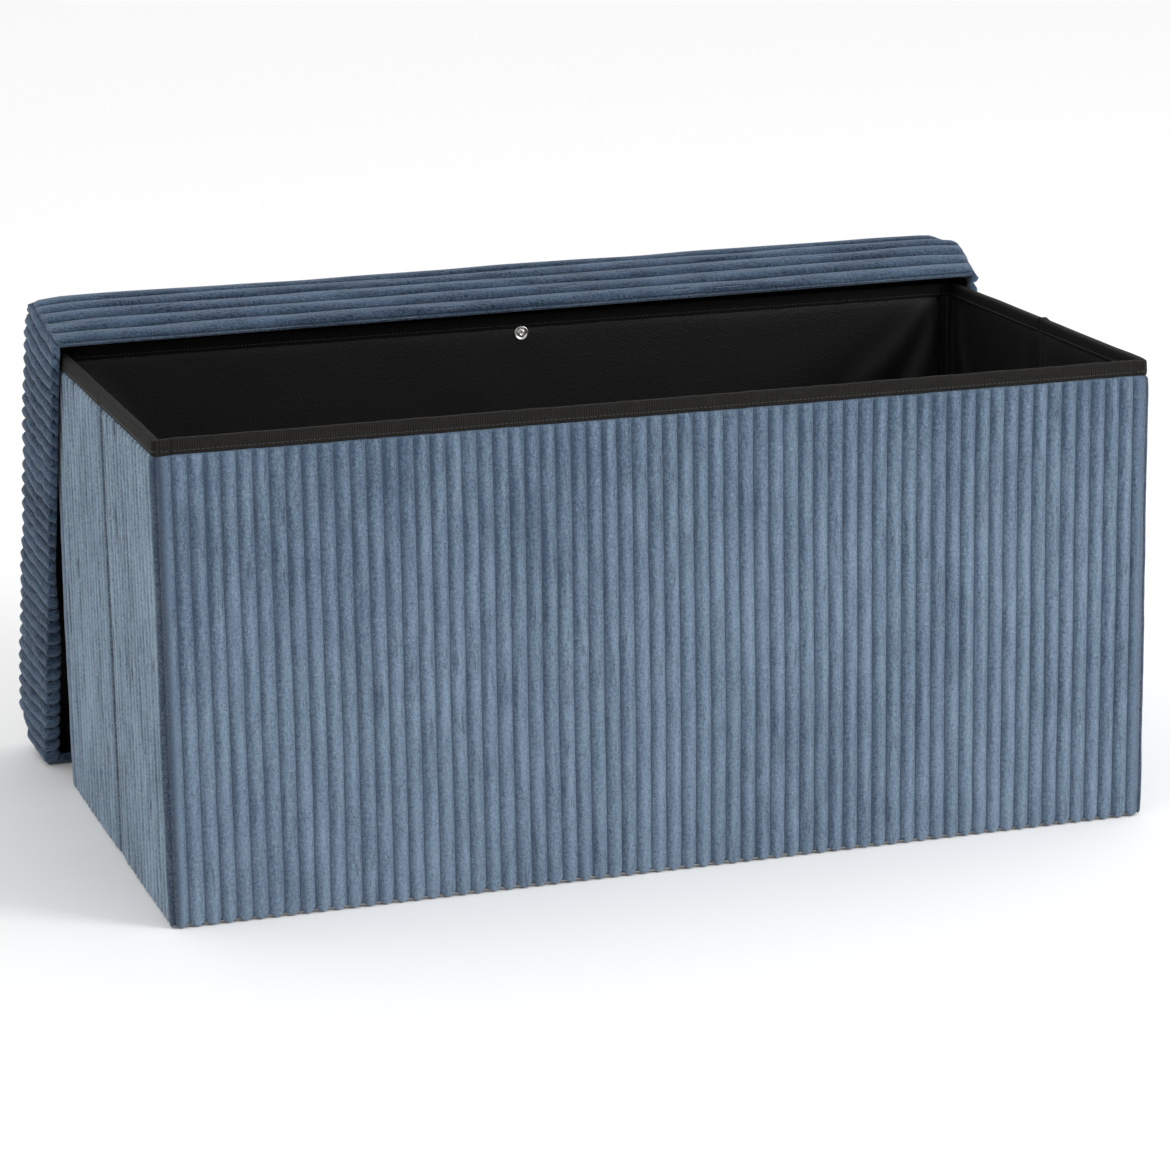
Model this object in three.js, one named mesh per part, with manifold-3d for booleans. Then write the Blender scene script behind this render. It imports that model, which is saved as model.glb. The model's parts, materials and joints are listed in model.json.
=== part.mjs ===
// Folding storage bench: a corduroy-covered box whose short sides crease inward, a base flap
// that lifts against the back wall, and a separate padded lid that leans behind the box.
// Millimetres, +X along the length, +Y to the back, +Z up, origin on the floor under the box.

import * as THREE from 'three';
import { mergeVertices } from 'three/addons/utils/BufferGeometryUtils.js';
import Module from 'manifold-3d';

const wasm = await Module();
wasm.setup();

// Driving dimensions of the box, outside sizes.
const LENGTH = 752;
const DEPTH = 369;
const HEIGHT = 353;

// Layers of a wall, counted from the inside, with the clearance between them.
const GAP = 0.3;
const LINING = 0.8;
const BOARD = 3;
const COVER = 3;
const WALL = LINING + GAP + BOARD + GAP + COVER;

// Binding tape over the rim.
const TAPE = 0.8;
const FLAP = 11;
const TAPE_INSET = 0.5;

// The base flap lies on the floor inside the walls, in a cloth sleeve open at its back edge.
const SLEEVE = 0.4;
const BASE_BOARD = 2.2;
const BASE = BASE_BOARD + 2 * (SLEEVE + GAP);
const BASE_DEPTH = 348;
const BASE_SIDE_GAP = 3.5;
const WALL_LIFT = BASE + 0.4;

// Fabric hinges: axis offset from the faces that meet, and the room kept for the raised base.
const HINGE_OFFSET = 0.4;
const BASE_ROOM = 5.9;
const CREASE_GAP = 0.4;

// Press stud on the back wall and its socket near the front edge of the base.
const STUD_DROP = 15;
const STUD_RADIUS = 5.8;
const STUD_POST_RADIUS = 2.3;
const STUD_SHANK_RADIUS = 1.9;
const SOCKET_RADIUS = 6;

// Lid, in its closed position: lip at z = 0, pad on top, sides flaring outward.
const LID_LENGTH = 766;
const LID_DEPTH = 382;
const LID_THICK = 68;
const LID_FLARE = 8;
const LID_SKIN = 1.8;
const LID_TOP_SKIN = 3;
const LID_RAIL = 2.4;
const LID_LINING = 0.6;
const LID_RECESS = 43;
const LID_BOARD = 3;

// How the lid stands: on one long lip, behind the box, leaning on its back rim.
const LEAN = THREE.MathUtils.degToRad(17);
const SKEW = THREE.MathUtils.degToRad(1.5);
const LEAN_GAP = 0.6;
const LID_SHIFT = -0.7;

// Derived positions.
const INNER_X = LENGTH / 2 - WALL;
const INNER_Y = DEPTH / 2 - WALL;
const REAR_PIVOT_Y = INNER_Y - BASE_ROOM;
const FRONT_PIVOT_Y = -INNER_Y + HINGE_OFFSET;
const CREASE_Y = (REAR_PIVOT_Y + FRONT_PIVOT_Y) / 2;
const BASE_REAR_Y = INNER_Y - HINGE_OFFSET;
const STUD_Z = HEIGHT - STUD_DROP;

const finish = (color, roughness, metalness = 0) =>
  new THREE.MeshStandardMaterial({ color, roughness, metalness });
const corduroy = () => finish(0x64788f, 0.95);
const lidCorduroy = () => finish(0x4f6480, 0.95);
const liningCloth = () => finish(0x141312, 0.9);
const tapeCloth = () => finish(0x33302d, 0.85);
const fibreboard = () => finish(0x8a6f50, 0.8);
const foamPad = () => finish(0xd9d2b8, 0.95);
const nickel = () => finish(0xd2d0cc, 0.3, 1);

// A box between two corners.
function block(x0, x1, y0, y1, z0, z1) {
  const box = new THREE.BoxGeometry(x1 - x0, y1 - y0, z1 - z0);
  return box.translate((x0 + x1) / 2, (y0 + y1) / 2, (z0 + z1) / 2);
}

// An outline in the (across, up) plane, swept along x from start to end.
function sweepAlongX(points, start, end) {
  const outline = new THREE.Shape(points.map(([across, up]) => new THREE.Vector2(across, up)));
  const solid = new THREE.ExtrudeGeometry(outline, { depth: end - start, bevelEnabled: false });
  const toXAxis = new THREE.Matrix4().makeBasis(
    new THREE.Vector3(0, 1, 0), new THREE.Vector3(0, 0, 1), new THREE.Vector3(1, 0, 0));
  return solid.applyMatrix4(toXAxis).translate(start, 0, 0);
}

function toSolid(geometry) {
  const bare = geometry.clone();
  bare.deleteAttribute('normal');
  bare.deleteAttribute('uv');
  const merged = mergeVertices(bare, 1e-4);
  return new wasm.Manifold(new wasm.Mesh({
    numProp: 3,
    vertProperties: new Float32Array(merged.attributes.position.array),
    triVerts: new Uint32Array(merged.index.array),
  }));
}

function fromSolid(solid) {
  const mesh = solid.getMesh();
  const geometry = new THREE.BufferGeometry();
  geometry.setAttribute('position', new THREE.BufferAttribute(mesh.vertProperties, 3));
  geometry.setIndex(new THREE.BufferAttribute(mesh.triVerts, 1));
  geometry.computeVertexNormals();
  return geometry;
}

// The body left when the tools are cut from it.
function cut(body, ...tools) {
  return fromSolid(tools.reduce((rest, tool) => rest.subtract(toSolid(tool)), toSolid(body)));
}

function named(name, geometry, material) {
  const mesh = new THREE.Mesh(geometry, material);
  mesh.name = name;
  return mesh;
}

// A wall section in its own frame: x along the wall, y from its inner face outward, z up.
// A wrapped section is a long wall, whose cover turns round both ends of its board. A section
// with feet stands on its cover's two ends, and everything between them is lifted.
function wallSection(prefix, start, end, { bottom, wrapped = false, studAt = null, feet = false }) {
  const section = new THREE.Group();
  const clothTop = HEIGHT - FLAP - GAP;
  const boardIn = LINING + GAP;
  const coverIn = boardIn + BOARD + GAP;
  const endCover = wrapped ? COVER + GAP : 0;
  const liningInset = wrapped ? WALL : 0;
  const inside = feet ? WALL_LIFT : bottom;

  let lining = block(start + liningInset, end - liningInset, 0, LINING, inside, clothTop);
  let board = block(start + endCover, end - endCover, boardIn, boardIn + BOARD,
    inside, HEIGHT - TAPE - GAP);
  if (studAt !== null) {
    const hole = new THREE.CylinderGeometry(STUD_SHANK_RADIUS + GAP, STUD_SHANK_RADIUS + GAP,
      3 * WALL, 24).translate(studAt, 0, STUD_Z);
    lining = cut(lining, hole);
    board = cut(board, hole);
  }

  let cover = block(start, end, coverIn, WALL, bottom, clothTop);
  if (wrapped) {
    cover = cut(block(start, end, boardIn, WALL, bottom, clothTop),
      block(start + COVER, end - COVER, -WALL, coverIn, bottom - 1, HEIGHT));
  }
  if (feet) {
    cover = cut(cover, block(start + WALL, end - WALL, -WALL, 2 * WALL, bottom - 1, WALL_LIFT));
  }

  const outer = WALL - TAPE_INSET;
  const channel = sweepAlongX([
    [0, HEIGHT - FLAP], [LINING, HEIGHT - FLAP], [LINING, HEIGHT - TAPE],
    [coverIn, HEIGHT - TAPE], [coverIn, HEIGHT - FLAP], [outer, HEIGHT - FLAP],
    [outer, HEIGHT], [0, HEIGHT],
  ], start, end);

  section.add(named(`${prefix}_board`, board, fibreboard()));
  section.add(named(`${prefix}_cover`, cover, corduroy()));
  section.add(named(`${prefix}_lining`, lining, liningCloth()));
  section.add(named(`${prefix}_binding`, channel, tapeCloth()));
  return section;
}

// Turns a wall section so that its outer face looks along the given heading.
function placeWall(section, x, y, turn) {
  section.position.set(x, y, 0);
  section.rotation.z = turn;
  return section;
}

function backWall() {
  const half = LENGTH / 2;
  return placeWall(wallSection('back', -half, half, { bottom: 0, wrapped: true, studAt: 0 }),
    0, INNER_Y, 0);
}

// The front wall stands on two feet, one at each end, outside the base flap.
function frontWall() {
  const half = LENGTH / 2;
  return placeWall(wallSection('front', -half, half, { bottom: 0, wrapped: true, feet: true }),
    0, -INNER_Y, Math.PI);
}

function sideWalls() {
  const edge = CREASE_GAP / 2;
  const options = { bottom: WALL_LIFT };
  const quarter = Math.PI / 2;
  return [
    placeWall(wallSection('left_rear', CREASE_Y + edge, REAR_PIVOT_Y, options), -INNER_X, 0, quarter),
    placeWall(wallSection('left_front', FRONT_PIVOT_Y, CREASE_Y - edge, options), -INNER_X, 0, quarter),
    placeWall(wallSection('right_rear', -REAR_PIVOT_Y, -CREASE_Y - edge, options), INNER_X, 0, -quarter),
    placeWall(wallSection('right_front', -CREASE_Y + edge, -FRONT_PIVOT_Y, options), INNER_X, 0, -quarter),
  ];
}

// Press stud: a dished ring with a post in the middle and a shank through lining and board.
function snapStud() {
  const profile = [
    [0, -1.7], [STUD_POST_RADIUS * 0.8, -1.7], [STUD_POST_RADIUS, -1.4], [STUD_POST_RADIUS, -0.6],
    [STUD_RADIUS * 0.72, -0.6], [STUD_RADIUS * 0.85, -1.1], [STUD_RADIUS, -0.9], [STUD_RADIUS, -GAP],
    [STUD_SHANK_RADIUS, -GAP], [STUD_SHANK_RADIUS, LINING + GAP + BOARD], [0, LINING + GAP + BOARD],
  ].map(([radius, height]) => new THREE.Vector2(radius, height));
  const stud = new THREE.LatheGeometry(profile, 32);
  return named('snap_stud', stud.translate(0, INNER_Y, STUD_Z), nickel());
}

// The base flap: a board in a cloth sleeve, with the stud's socket let into it.
function baseFlap() {
  const flap = new THREE.Group();
  const halfX = INNER_X - BASE_SIDE_GAP;
  const front = BASE_REAR_Y - BASE_DEPTH;
  const socketY = BASE_REAR_Y - (STUD_Z - BASE);
  const side = SLEEVE + GAP;
  const bore = new THREE.CylinderGeometry(SOCKET_RADIUS + GAP, SOCKET_RADIUS + GAP, 2 * BASE, 32)
    .rotateX(Math.PI / 2).translate(0, socketY, BASE + SLEEVE + GAP);

  const outline = new THREE.Shape([
    new THREE.Vector2(-halfX + side, front + side), new THREE.Vector2(halfX - side, front + side),
    new THREE.Vector2(halfX - side, BASE_REAR_Y), new THREE.Vector2(-halfX + side, BASE_REAR_Y),
  ]);
  outline.holes.push(new THREE.Path().absarc(0, socketY, SOCKET_RADIUS + GAP, 0, 2 * Math.PI));
  const board = new THREE.ExtrudeGeometry(outline,
    { depth: BASE_BOARD, bevelEnabled: false, curveSegments: 24 }).translate(0, 0, side);
  const sleeve = cut(block(-halfX, halfX, front, BASE_REAR_Y, 0, BASE),
    block(-halfX + SLEEVE, halfX - SLEEVE, front + SLEEVE, DEPTH, SLEEVE, BASE - SLEEVE), bore);
  const profile = [
    [0, side], [SOCKET_RADIUS, side], [SOCKET_RADIUS, BASE - 0.1], [2.8, BASE - 0.1],
    [2.8, BASE / 2], [0, BASE / 2],
  ].map(([radius, height]) => new THREE.Vector2(radius, height));
  const socket = new THREE.LatheGeometry(profile, 32).rotateX(Math.PI / 2)
    .translate(0, socketY, 0);

  flap.add(named('base_board', board, fibreboard()));
  flap.add(named('base_sleeve', sleeve, liningCloth()));
  flap.add(named('snap_socket', socket, nickel()));
  return flap;
}

// A block whose four sides lean outward from the lip to the pad.
function flaredBlock(length, depth, thick, flare) {
  const box = block(-length / 2, length / 2, -depth / 2, depth / 2, 0, thick);
  const place = box.attributes.position;
  for (let i = 0; i < place.count; i += 1) {
    if (place.getZ(i) > thick / 2) {
      place.setX(i, place.getX(i) + Math.sign(place.getX(i)) * flare);
      place.setY(i, place.getY(i) + Math.sign(place.getY(i)) * flare);
    }
  }
  return box;
}

// The lid in its closed position, centred on its own length and depth, lip at z = 0.
function lidPieces() {
  const lid = new THREE.Group();
  const pocketX = LID_LENGTH / 2 - LID_SKIN;
  const pocketY = LID_DEPTH / 2 - LID_SKIN;
  const railX = pocketX - GAP;
  const railY = pocketY - GAP;
  const liningX = railX - LID_RAIL - GAP;
  const liningY = railY - LID_RAIL - GAP;
  const railTop = LID_RECESS + LINING;
  const boardTop = railTop + GAP + LID_BOARD;
  const foamTop = LID_THICK - LID_TOP_SKIN - GAP;
  const endY = railY - LID_RAIL - GAP;

  lid.add(named('lid_cover', cut(flaredBlock(LID_LENGTH, LID_DEPTH, LID_THICK, LID_FLARE),
    block(-pocketX, pocketX, -pocketY, pocketY, -1, LID_THICK - LID_TOP_SKIN)), lidCorduroy()));
  lid.add(named('lid_foam', block(-railX, railX, -railY, railY, boardTop + GAP, foamTop), foamPad()));
  lid.add(named('lid_board', block(-railX, railX, -railY, railY, railTop + GAP, boardTop),
    fibreboard()));
  lid.add(named('lid_front_rail', block(-railX, railX, -railY, -railY + LID_RAIL, GAP, railTop),
    fibreboard()));
  lid.add(named('lid_rear_rail', block(-railX, railX, railY - LID_RAIL, railY, GAP, railTop),
    fibreboard()));
  lid.add(named('lid_left_rail', block(-railX, -railX + LID_RAIL, -endY, endY, GAP, railTop),
    fibreboard()));
  lid.add(named('lid_right_rail', block(railX - LID_RAIL, railX, -endY, endY, GAP, railTop),
    fibreboard()));
  lid.add(named('lid_lining', cut(block(-liningX, liningX, -liningY, liningY, GAP, railTop),
    block(-liningX + LID_LINING, liningX - LID_LINING, -liningY + LID_LINING, liningY - LID_LINING,
      -1, LID_RECESS)), liningCloth()));
  return lid;
}

// Stands the lid on its rear lip, with its recess towards the box and its underside against
// the back rim. The skew brings the left end closest, so that end sets the distance.
function leaningLid() {
  const lid = lidPieces();
  const halfDepth = LID_DEPTH / 2;
  const reach = (HEIGHT - LID_RECESS * Math.sin(LEAN)) / Math.cos(LEAN);
  const lipBack = reach * Math.sin(LEAN) - LID_RECESS * Math.cos(LEAN);
  const skewReach = (LENGTH / 2) * Math.sin(SKEW);
  const lipY = DEPTH / 2 + lipBack + skewReach + LEAN_GAP;
  lid.rotation.set(LEAN - Math.PI / 2, 0, SKEW, 'ZYX');
  lid.position.set(LID_SHIFT, lipY - halfDepth * Math.sin(LEAN), halfDepth * Math.cos(LEAN));
  return lid;
}

const bench = new THREE.Group();
bench.add(backWall(), frontWall(), ...sideWalls(), snapStud(), baseFlap(), leaningLid());

export default bench;
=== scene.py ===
"""Folding storage bench: ribbed corduroy over boards, a black lining, a bound rim and a padded lid."""
import json
import math

import bmesh
import bpy
import numpy as np
from mathutils import Matrix, Vector
from mathutils.bvhtree import BVHTree


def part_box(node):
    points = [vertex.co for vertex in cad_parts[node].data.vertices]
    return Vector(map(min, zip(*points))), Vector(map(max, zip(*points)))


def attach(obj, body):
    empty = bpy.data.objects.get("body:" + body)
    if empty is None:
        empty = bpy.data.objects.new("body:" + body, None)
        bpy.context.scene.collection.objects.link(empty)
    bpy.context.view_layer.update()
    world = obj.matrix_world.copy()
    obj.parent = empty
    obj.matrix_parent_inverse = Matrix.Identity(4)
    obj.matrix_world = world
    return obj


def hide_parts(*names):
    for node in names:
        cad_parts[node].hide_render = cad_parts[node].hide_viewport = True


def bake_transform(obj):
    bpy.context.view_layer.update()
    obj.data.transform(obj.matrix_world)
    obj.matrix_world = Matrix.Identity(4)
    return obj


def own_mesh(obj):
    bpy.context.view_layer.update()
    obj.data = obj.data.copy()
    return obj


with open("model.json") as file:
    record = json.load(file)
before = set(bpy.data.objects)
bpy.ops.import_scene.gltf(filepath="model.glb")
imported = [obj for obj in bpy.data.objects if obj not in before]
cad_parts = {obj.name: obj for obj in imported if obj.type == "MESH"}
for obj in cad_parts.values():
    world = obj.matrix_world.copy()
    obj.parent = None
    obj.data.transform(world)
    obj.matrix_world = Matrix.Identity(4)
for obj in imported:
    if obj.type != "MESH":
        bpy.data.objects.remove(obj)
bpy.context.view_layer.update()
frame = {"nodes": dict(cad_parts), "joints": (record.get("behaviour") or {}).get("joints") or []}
joints = {j["name"]: j for j in frame["joints"]}
MM = 0.001

# ---------------------------------------------------------------- sizes, all from the CAD
HALF_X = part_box("front_cover")[1].x
FRONT_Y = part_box("front_cover")[0].y
REAR_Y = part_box("back_cover")[1].y
RIM_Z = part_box("front_binding")[1].z
TAPE_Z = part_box("front_binding")[0].z
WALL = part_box("front_lining")[1].y - FRONT_Y
CREASE_Y = joints["left_crease"]["pos_m"][1]

# ---------------------------------------------------------------- corduroy
PITCH = 11.58 * MM
RELIEF_SIDE, RELIEF_LONG = 3.0 * MM, 2.8 * MM
PROUD_SIDE, PROUD_LONG = 0.2 * MM, 1.5 * MM
CORNER = 4.5 * MM
COLUMNS = 10
CLOTH = 3.0 * MM
HEM_Z = 0.6 * MM
HEM_ROUND = 2.4 * MM
# between the ribs the cloth ends this much higher than at their crests, and is level from this height
NOTCH, NOTCH_TOP = 5.0 * MM, 22 * MM
UNDER_TAPE = -1.6 * MM
SINK, SINK_WIDTH = 3.0 * MM, 5.0 * MM
BULGE, BULGE_CHANGE, BULGE_WIDTH = 0.7 * MM, 0.5 * MM, 9 * MM


def lattice(seed, size=64):
    return np.random.RandomState(seed).rand(size, size) * 2 - 1


def soft_noise(x, y, cell_x, cell_y, seed):
    """Smooth value noise from -1 to 1 with cells of that size."""
    table = lattice(seed)
    u, v = np.asarray(x) / cell_x, np.asarray(y) / cell_y
    i, j = np.floor(u).astype(int), np.floor(v).astype(int)
    f, g = u - i, v - j
    f, g = f * f * (3 - 2 * f), g * g * (3 - 2 * g)
    n = table.shape[0]

    def at(a, b):
        return table[a % n, b % n]

    return ((at(i, j) * (1 - f) + at(i + 1, j) * f) * (1 - g)
            + (at(i, j + 1) * (1 - f) + at(i + 1, j + 1) * f) * g)


def smooth(t):
    t = np.clip(t, 0, 1)
    return t * t * (3 - 2 * t)


def bell(distance, width):
    """1 at no distance, falling away over that width."""
    return np.exp(-(distance / width) ** 2)


def rib_places(ribs, per_rib):
    """Places across that many ribs, closer together near the grooves."""
    step = (1 - np.cos(np.pi * np.arange(per_rib) / per_rib)) / 2
    return np.append(np.concatenate([k + step for k in range(ribs)]), ribs)


def dome(u):
    """The rounded section of one rib, from groove to groove."""
    return np.sin(np.pi * np.clip(u, 0, 1)) ** 0.75


def flank_light(u):
    """Painted light: one flank of each rib is painted lighter than the other, as if lit from that side.
    """
    return smooth((u - 0.12) / 0.36) * smooth((1.0 - u) / 0.42)


def make_mesh(name, verts, faces, uv=None, flat_from=None, attributes=None):
    mesh = bpy.data.meshes.new(name)
    mesh.from_pydata([tuple(v) for v in verts], [], faces)
    mesh.update()
    smooth_flags = np.ones(len(faces), bool)
    if flat_from is not None:
        smooth_flags[flat_from:] = False
    mesh.polygons.foreach_set("use_smooth", smooth_flags)
    for key, values in (attributes or {}).items():
        mesh.attributes.new(key, "FLOAT", "POINT").data.foreach_set(
            "value", np.asarray(values, np.float32))
    if uv is not None:
        # uv is given for each face corner, or else for each point
        layer = mesh.uv_layers.new(name="cloth")
        uv = np.asarray(uv, np.float32)
        if len(uv) != len(mesh.loops):
            loops = np.zeros(len(mesh.loops), int)
            mesh.loops.foreach_get("vertex_index", loops)
            uv = uv[loops]
        layer.data.foreach_set("uv", uv.ravel())
    piece = bpy.data.objects.new(name, mesh)
    bpy.context.scene.collection.objects.link(piece)
    return piece


def grid_faces(rows, columns, start=0, flip=False):
    """Quads of a grid stored row by row."""
    i, j = np.meshgrid(np.arange(rows - 1), np.arange(columns - 1), indexing="ij")
    a = (start + i * columns + j).ravel()
    quad = np.stack([a, a + 1, a + columns + 1, a + columns], 1)
    return (quad[:, ::-1] if flip else quad).tolist()


def tube_faces(rings, around, start=0):
    """Faces of a closed tube whose rings are stored one after another, with its two ends."""
    faces = []
    for k in range(start, start + (rings - 1) * around, around):
        for j in range(around):
            n = (j + 1) % around
            faces.append([k + j, k + n, k + n + around, k + j + around])
    faces.append(list(range(start, start + around))[::-1])
    faces.append(list(range(start + (rings - 1) * around, start + rings * around)))
    return faces


def border(rows, columns):
    """The places round the edge of a grid stored row by row, starting along its first row."""
    last = (rows - 1) * columns
    return (list(range(columns - 1)) + list(range(columns - 1, last, columns))
            + list(range(rows * columns - 1, last, -1)) + list(range(last, 0, -columns)))


def shell(name, outer, inner, uv, attributes=None, flip=False):
    """A closed sheet from two matching (rows, columns, 3) grids."""
    rows, columns = outer.shape[:2]
    count = rows * columns
    verts = np.concatenate([outer.reshape(-1, 3), inner.reshape(-1, 3)])
    faces = grid_faces(rows, columns, flip=flip) + grid_faces(rows, columns, count, not flip)
    ring = border(rows, columns)
    flat_from = len(faces)
    for a, b in zip(ring, ring[1:] + ring[:1]):
        quad = [b, a, a + count, b + count]
        faces.append(quad[::-1] if flip else quad)
    both = {k: np.tile(np.ravel(v), 2) for k, v in (attributes or {}).items()}
    return make_mesh(name, verts, faces, np.tile(uv.reshape(-1, 2), (2, 1)), flat_from, both)


# The outline of the box in plan, counter-clockwise from the crease of the left side.
ARC = CORNER * math.pi / 2
SIDE_FRONT = CREASE_Y - FRONT_Y - CORNER
LONG = 2 * (HALF_X - CORNER)
SIDE = REAR_Y - FRONT_Y - 2 * CORNER
SIDE_REAR = REAR_Y - CREASE_Y - CORNER
X0, Y0, Y1 = HALF_X - CORNER, FRONT_Y + CORNER, REAR_Y - CORNER
SEGMENTS = [
    (SIDE_FRONT, (-HALF_X, CREASE_Y), -90), (ARC, (-X0, Y0), 180), (LONG, (-X0, FRONT_Y), 0),
    (ARC, (X0, Y0), 270), (SIDE, (HALF_X, Y0), 90), (ARC, (X0, Y1), 0), (LONG, (X0, REAR_Y), 180),
    (ARC, (-X0, Y1), 90), (SIDE_REAR, (-HALF_X, Y1), -90),
]
STARTS = np.cumsum([0] + [s[0] for s in SEGMENTS])


def outline(q):
    """Points and outward normals at distances q along the outline."""
    q = np.asarray(q, float)
    points, normals = np.zeros(q.shape + (2,)), np.zeros(q.shape + (2,))
    which = np.clip(np.searchsorted(STARTS, q, side="right") - 1, 0, len(SEGMENTS) - 1)
    for k, (length, origin, degrees) in enumerate(SEGMENTS):
        here, along = which == k, q[which == k] - STARTS[k]
        if length == ARC:
            angle = math.radians(degrees) + along / CORNER
            radial = np.stack([np.cos(angle), np.sin(angle)], -1)
            points[here], normals[here] = np.array(origin) + CORNER * radial, radial
        else:
            way = np.array([math.cos(math.radians(degrees)), math.sin(math.radians(degrees))])
            points[here] = np.array(origin) + along[..., None] * way
            normals[here] = np.array([way[1], -way[0]])
    return points, normals


SIDE_FRONT_END = -173.5 * MM
SIDE_REAR_END = 170.9 * MM
FRONT_END = 362.9 * MM
REAR_END = 352.9 * MM
# name, where it ends along the outline
PATCHES = [
    ("left_front", CREASE_Y - SIDE_FRONT_END), ("front_left_corner", STARTS[2] + X0 - FRONT_END),
    ("front", STARTS[2] + X0 + FRONT_END), ("front_right_corner", STARTS[4] + SIDE_FRONT_END - Y0),
    ("right_front", STARTS[4] + CREASE_Y - Y0), ("right_rear", STARTS[4] + SIDE_REAR_END - Y0),
    ("back_right_corner", STARTS[6] + X0 - REAR_END), ("back", STARTS[6] + X0 + REAR_END),
    ("back_left_corner", STARTS[8] + Y1 - SIDE_REAR_END), ("left_rear", STARTS[9]),
]


def on_long_wall(q):
    """0 on the short sides, 1 on the front and back, changing across the corners."""
    ends = [0] + [q_end for _, q_end in PATCHES]
    value = np.zeros(np.shape(q))
    for k, (name, _) in enumerate(PATCHES):
        here = (q >= ends[k]) & (q <= ends[k + 1])
        f = smooth((q - ends[k]) / (ends[k + 1] - ends[k]))
        if name in ("front", "back"):
            value[here] = 1
        elif name in ("front_left_corner", "back_right_corner"):
            value[here] = f[here]
        elif "corner" in name:
            value[here] = 1 - f[here]
    return value


def is_flat(patch):
    return "corner" not in patch and patch != "left_crease"


def rib_rows():
    low = HEM_Z + np.array([0, 0.35, 0.9, 1.7, 2.8, 4.4, 7]) * MM
    high = TAPE_Z + np.array([-9, -6.2, -4.6, -3.3, -2.2, -1.2, -0.3, 0.8, 1.6]) * MM
    return np.concatenate([low, np.linspace(low[-1], high[0], 44)[1:-1], high])


def rib_lift(Q, Z, hump):
    """How far the ribs stand up, as a share of their height: round at the hem, flat under the tape."""
    hem = smooth((Z - HEM_Z) / HEM_ROUND) ** 0.5
    under = smooth((TAPE_Z + 0.1 * MM - Z) / (4.2 * MM)) ** 0.6
    body = (1 + 0.12 * soft_noise(Q, Z, 9 * MM, 70 * MM, 3)
            + 0.07 * soft_noise(Q, Z, 4 * MM, 7 * MM, 4))
    return hump * (0.5 + 0.5 * hem) * under * body


def back_faces(name, ring, rows, columns):
    """What closes a patch behind: one face, or strips from hem to rim where a corner bends."""
    if is_flat(name):
        return [ring[::-1]]
    faces = []
    bottom, right = ring[:columns], ring[columns:columns + rows - 2]
    top = ring[columns + rows - 2:2 * columns + rows - 2][::-1]
    left = ring[2 * columns + rows - 2:]
    for j in range(columns - 1):
        strip = [bottom[j], bottom[j + 1]] + (right if j == columns - 2 else [])
        strip += [top[j + 1], top[j]] + (left if j == 0 else [])
        faces.append(strip[::-1])
    return faces


def corduroy_patch(name, q0, q1):
    """One patch of the box's cloth: vertical ribs with rounded ends at the hem, flattened under
    the rim's tape, closed behind."""
    ribs = round((q1 - q0) / PITCH)
    phase = rib_places(ribs, COLUMNS)
    u = np.where(phase < ribs, phase % 1, 0)
    q = q0 + (q1 - q0) * phase / ribs
    z = rib_rows()
    Q, Z = np.meshgrid(q, z)
    U = np.tile(u, (len(z), 1))
    hump = dome(U)
    lift = rib_lift(Q, Z, hump)
    long = on_long_wall(Q)
    proud = PROUD_SIDE + (PROUD_LONG - PROUD_SIDE) * long
    relief = RELIEF_SIDE + (RELIEF_LONG - RELIEF_SIDE) * long
    height = proud - relief + relief * np.minimum(lift, 1.06)
    height = np.where(Z > TAPE_Z - 0.5 * MM, np.minimum(height, UNDER_TAPE), height)
    # the creases sink in and the corners bulge a little
    crease = np.minimum(np.minimum(Q, STARTS[9] - Q), np.abs(Q - PATCHES[4][1]))
    height -= SINK * bell(crease, SINK_WIDTH) * (hump + 0.05)
    corner = np.min([np.abs(Q - (STARTS[k] + ARC / 2)) for k in (1, 3, 5, 7)], axis=0)
    bulge = smooth((Z - HEM_Z) / (12 * MM)) * smooth((TAPE_Z - Z) / (14 * MM)) * bell(corner, BULGE_WIDTH)
    height += bulge * (BULGE + BULGE_CHANGE * soft_noise(Q * 0, Z, 1, 34 * MM, 7))
    # the ribs wander a little from side to side, but not where two patches meet
    sway = (0.55 * MM * soft_noise(Q, Z, 60 * MM, 130 * MM, 5)
            + 0.22 * MM * soft_noise(Q, Z, 11 * MM, 30 * MM, 6))
    sway *= smooth(np.minimum(Q - q0, q1 - Q) / (9 * MM)) * ((phase > 1e-6) & (phase < ribs - 1e-6))
    points, normals = outline(Q + sway)
    Zw = Z + (1 - hump) * NOTCH * np.clip(1 - (Z - HEM_Z) / NOTCH_TOP, 0, 1)
    outer = np.dstack([points + normals * height[..., None], Zw])
    verts, rows, columns = outer.reshape(-1, 3), len(z), len(q)
    faces = grid_faces(rows, columns)
    flat_from = len(faces)
    edge = border(rows, columns)
    edge_q, edge_z = Q.ravel()[edge], Zw.ravel()[edge]
    behind_p, behind_n = outline(edge_q)
    behind_z = np.where(np.array(edge) < columns, HEM_Z + 1.6 * MM, edge_z)
    behind = np.column_stack([behind_p - behind_n * CLOTH, behind_z])
    count = len(edge)
    ring = list(range(len(verts), len(verts) + count))
    for k in range(count):
        n = (k + 1) % count
        faces.append([edge[n], edge[k], ring[k], ring[n]])
    faces += back_faces(name, ring, rows, columns)
    verts = np.concatenate([verts, behind])
    uv = np.stack([np.append(Q.ravel(), edge_q), np.append(Zw.ravel(), edge_z)], 1)
    # painted shade where the cloth bends, at the creases and the corners
    opened = 1.8 * bell(crease, 4.5 * MM) + bell(corner, 6.0 * MM)
    # rib sets how much painted groove shade each point gets, flank the painted light on one flank of each
    # rib, and the third the painted shade at the bends
    shades = {"rib": np.clip(lift, 0, 1), "flank": flank_light(U), "opened": np.clip(opened, 0, 1)}
    shades = {key: np.append(value.ravel(), np.zeros(count)) for key, value in shades.items()}
    piece = make_mesh(f"{name}_corduroy", verts, faces, uv, flat_from, shades)
    return piece


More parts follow.
